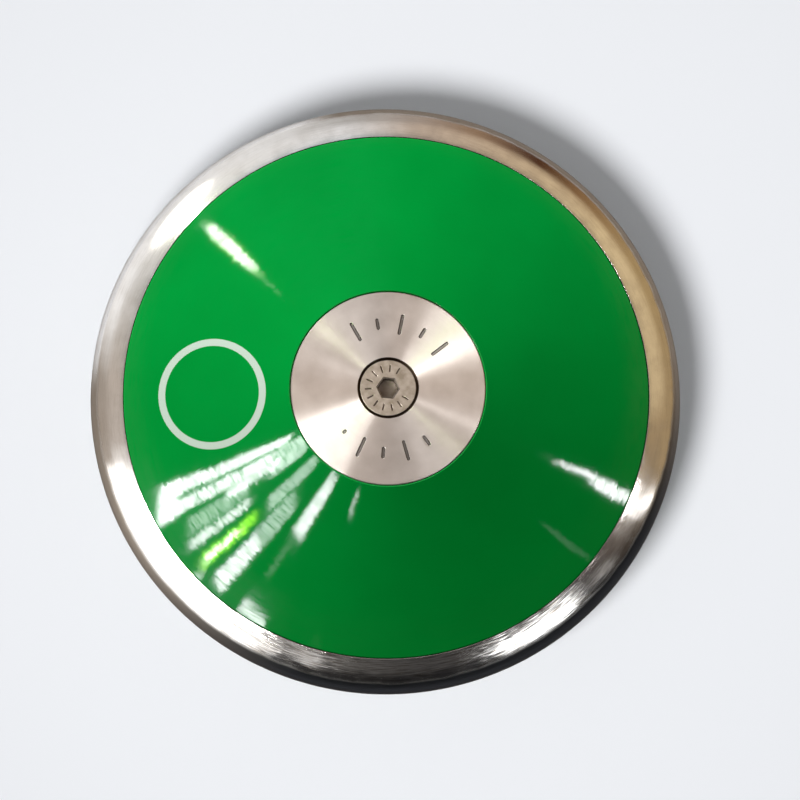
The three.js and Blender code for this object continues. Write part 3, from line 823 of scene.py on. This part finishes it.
# A softbox near the floor, for a shadow as wide as the discus. Its panel hangs steeper than it shines
# and its light doesn't fade with distance, so that the floor is lit evenly. Its power is pi * pi * level
# over the cosines of two slants: of its light on the board, and of the panel to its light.
def softbox(azimuth, zenith, distance, spread, panelZenith, level, receivers):
    lamp = bpy.data.lights.new("softbox", "AREA")
    lamp.shape = "DISK"
    lamp.size = 2 * distance * math.tan(math.radians(spread) / 2)
    slants = math.cos(math.radians(zenith)) * math.cos(math.radians(panelZenith - zenith))
    lamp.energy = math.pi ** 2 * level / slants
    add = nodesOf(lamp)
    steady = add("LightFalloff", {"Strength": 1}, "Constant")
    add("OutputLight", {"Surface": add("Emission", {"Strength": steady})})
    placeLamp(lamp, wayTo(azimuth, zenith) * distance, wayTo(azimuth, panelZenith), receivers)


# A lamp that shows in gloss alone. Width and height are the angles that it fills, and brightness is
# its radiance, where 1 is paper white. Its power is brightness * pi * its area.
def mirroredLamp(name, distance, azimuth, zenith, width, height, brightness, colour, shape="RECTANGLE"):
    lamp = bpy.data.lights.new(name, "AREA")
    lamp.shape = shape
    lamp.size = 2 * distance * math.tan(math.radians(width) / 2)
    lamp.size_y = 2 * distance * math.tan(math.radians(height) / 2)
    shapeShare = math.pi / 4 if shape == "ELLIPSE" else 1
    lamp.energy = brightness * math.pi * lamp.size * lamp.size_y * shapeShare
    lamp.color = linear(colour)[:3]
    stand = bpy.data.objects.new(name, lamp)
    stand.visible_diffuse = False
    stand.location = wayTo(azimuth, zenith) * distance
    stand.rotation_euler = wayTo(azimuth, zenith).to_track_quat("Z", "Y").to_euler()
    scene.collection.objects.link(stand)


# The floor's softbox hangs to the lower left, and the discus gets soft daylight from the upper left.
# Angles are in degrees, and the softbox's distance in metres.
daylight = {"azimuth": 132, "zenith": 73, "spread": 20, "level": 1.0, "colour": "#d0e8ff"}
floorLight = {
    "azimuth": -128.6, "zenith": 35, "distance": 0.5, "spread": 22, "panelZenith": 63, "level": 0.75,
}

# The mirrored lamps' distance, in metres. Each hangs a step nearer than the last, because gloss shows
# only one of two lamps in the same plane.
lampDistance, lampStep = 6, 0.02

# What the gloss mirrors: the panes of a window to the lower left, which show as bars in the lacquer,
# with a bright screen below it, spots to the upper left, to the right and at the foot, a doorway, and a
# dim skylight. Each is azimuth, zenith, width, height, brightness, colour and shape, as mirroredLamp
# takes them.
mirrored = {
    "paneTopUpper": (-167.8, 26.8, 1.6, 5.5, 70, "#ffffff"),
    "paneTopLower": (-162.9, 26.9, 1.6, 5.0, 68, "#ffffff"),
    "paneTopEnd": (-165.2, 29.2, 4.6, 0.8, 70, "#ffffff"),
    "paneTopInner": (-159.3, 25.2, 1.4, 2.4, 60, "#ffffff"),
    "paneTopHub": (-160.5, 23.4, 4.4, 1.8, 42, "#f4fff8"),
    "paneDim": (-156.8, 26.8, 2.0, 2.8, 22, "#f4fff8"),
    "paneThin": (-152.4, 26.7, 1.1, 2.9, 56, "#ffffff"),
    "paneYellow": (-146.8, 26.4, 1.6, 2.8, 62, "#a6ff38"),
    "paneYellowCore": (-146.9, 26.8, 0.6, 1.8, 95, "#ffffff"),
    "paneInner": (-146.6, 23.0, 2.1, 2.6, 28, "#f4fff8"),
    "panePale": (-139.6, 26.2, 2.1, 2.4, 68, "#ffffff"),
    "panePaleInner": (-139.6, 23.9, 2.6, 2.0, 28, "#f4fff8"),
    "paneHub": (-128.9, 22.0, 2.3, 2.8, 60, "#ffffff"),
    "paneFaint": (-129.5, 24.5, 0.8, 1.8, 5, "#f4fff8"),
    "paneSmall": (-108.6, 20.7, 0.6, 1.0, 35, "#ffffff"),
    "paneFoot": (-127, 26.9, 3.6, 0.7, 55, "#ffffff"),
    "paneFootLeft": (-144.8, 28.1, 0.9, 0.6, 30, "#ffffff"),
    "screenFoot": (-139.5, 46.5, 29, 31, 1.14, "#ffffff"),
    "screenFootLeft": (-165.2, 50, 13.4, 31, 1.14, "#ffffff"),
    "spotLeft": (127.1, 36.3, 2.0, 2.8, 30, "#d4ff9c", "ELLIPSE"),
    "spotLeftCore": (127.1, 36.4, 1.3, 2.4, 66, "#ffffff"),
    "spotLeftTrail": (127.2, 34.4, 0.4, 1.2, 9, "#f0ffe8"),
    "spotLeftLow": (131, 52, 13, 24, 1.2, "#fffff4", "ELLIPSE"),
    "spotRightTip": (-8.3, 30.8, 0.75, 2.2, 70, "#ffffff", "ELLIPSE"),
    "spotRight": (-10.1, 32.0, 1.6, 1.7, 75, "#ffffff", "ELLIPSE"),
    "spotRightLow": (-13.1, 46, 4.2, 23, 1.5, "#ffffff", "ELLIPSE"),
    "spotFaint": (-26.9, 29.5, 0.3, 2.4, 7, "#ffffff", "ELLIPSE"),
    "spotFaintLow": (-30, 43, 4, 12, 0.3, "#ffffff", "ELLIPSE"),
    "spotFoot": (-108, 33, 4.5, 14, 0.5, "#ffffff", "ELLIPSE"),
    "doorway": (-50, 41, 14, 18, 2.3, "#f8fcff"),
    "skylight": (90, 12, 46, 15, 0.38, "#fff8f4"),
    "skylightEdge": (97, 22, 16, 8, 1.3, "#fffcfa"),
}

# The room that the gloss mirrors, from the floor up: a pale backdrop all round, walls by azimuth in
# degrees, lower and upper, a dark frieze above them, which the lacquer mirrors, and a ceiling. The
# left is pale, the right is wood, and the foot is dark. Their edges are rings about the mirror axis,
# and each fades out between two angles from it. Matt surfaces get a plain neutral light instead.
room = {
    "upperWalls": [
        (-180, "#c2b8b0"), (-174, "#f6f6f6"), (-130, "#f4f5f6"), (-116, "#6a6866"), (-80, "#454444"),
        (-30, "#4a4644"), (-18, "#5e544a"), (5, "#a8906c"), (11, "#cfb890"), (45, "#dcc499"),
        (63, "#cfb898"), (84, "#c6b4a4"), (95, "#ececee"), (125, "#f2f2f0"), (147, "#d4d2cf"),
        (165, "#c2b7ad"),
    ],
    "lowerWalls": [
        (-180, "#a89d92"), (-172, "#a89d92"), (-164, "#ffffff"), (-135, "#eef0f2"), (-115, "#3c3c3e"),
        (-95, "#1d1c1d"), (-35, "#222326"), (-19, "#453c33"), (-5, "#a48e6c"), (35, "#ae9468"),
        (50, "#8a6a48"), (61, "#4a2c1e"), (74, "#9a8068"), (95, "#b5b3b1"), (112, "#f0f1f2"),
        (155, "#ffffff"), (168, "#a89e94"),
    ],
    "frieze": [
        (-180, "#454b48"), (-120, "#2a2c2b"), (-30, "#222222"), (20, "#303030"), (84, "#3c403e"),
        (93, "#6a8c96"), (118, "#6a8c96"), (126, "#5c6a68"), (150, "#4c5452"),
    ],
    "mirrorAxis": (82, 8), "ceilingWithin": (20, 25), "friezeWithin": (31.9, 32.8),
    "upperWallsWithin": (38, 50),
    "ceiling": [
        (-180, "#dcd2ca"), (-140, "#a89e96"), (-100, "#6e655e"), (-60, "#6e655e"), (-20, "#a89e96"),
        (20, "#cabfb7"), (80, "#dcd2ca"), (120, "#ece2da"),
    ],
    "backdrop": "#f2f3f5", "backdropCosines": (0.06, 0.2), "plainLight": 0.3,
}


# A ramp of colours by azimuth: it runs from 0 to 1 as the azimuth runs from -180 to 180 degrees.
def wallRamp(add, turn, stops):
    share = add("Math", {0: turn, 1: 0.5 / math.pi, 2: 0.5}, operation="MULTIPLY_ADD")
    colour = add("ValToRGB", {0: share})
    elements = colour.node.color_ramp.elements
    stops = stops + [(180, stops[0][1])]
    while len(elements) < len(stops):
        elements.new(0.5)
    for element, (azimuth, shade) in zip(elements, stops):
        element.position = azimuth / 360 + 0.5
        element.color = linear(shade)
    return colour


def lightRoom():
    scene.world = bpy.data.worlds.new("room")
    add = nodesOf(scene.world)
    way = add("TexCoord", {}, "Generated")
    x, y, z = (add("SeparateXYZ", {0: way}, axis) for axis in range(3))
    turn = add("Math", {0: y, 1: x}, operation="ARCTAN2")
    axis = add("VectorMath", {0: way, 1: wayTo(*room["mirrorAxis"])}, "Value", operation="DOT_PRODUCT")
    colour = wallRamp(add, turn, room["lowerWalls"])
    for higher in ("upperWalls", "frieze", "ceiling"):
        near, far = (math.cos(math.radians(angle)) for angle in room[higher + "Within"])
        share = add("MapRange", {0: axis, 1: far, 2: near}, interpolation_type="SMOOTHSTEP")
        above = wallRamp(add, turn, room[higher])
        colour = add("Mix", {"Factor": share, "A": colour, "B": above}, 2, data_type="RGBA")
    low = {0: z, 1: room["backdropCosines"][1], 2: room["backdropCosines"][0]}
    low = add("MapRange", low, interpolation_type="SMOOTHSTEP")
    colour = add("Mix", {"Factor": low, "A": colour, "B": linear(room["backdrop"])}, 2, data_type="RGBA")
    glossLight = add("Background", {"Color": colour, "Strength": 1})
    mattLight = add("Background", {"Color": linear("#ffffff"), "Strength": room["plainLight"]})
    matt = add("LightPath", {}, "Is Diffuse Ray")
    add("OutputWorld", {"Surface": add("MixShader", {0: matt, 1: glossLight, 2: mattLight})})


board = floorBoard()
discusPieces = [piece for piece in scene.objects if piece.type == "MESH" and piece != board]
softDaylight(receivers=discusPieces, **daylight)
softbox(receivers=[board], **floorLight)
for number, (name, settings) in enumerate(mirrored.items()):
    mirroredLamp(name, lampDistance - number * lampStep, *settings)
lightRoom()
scene.view_settings.view_transform = "Standard"
print("studio lit")
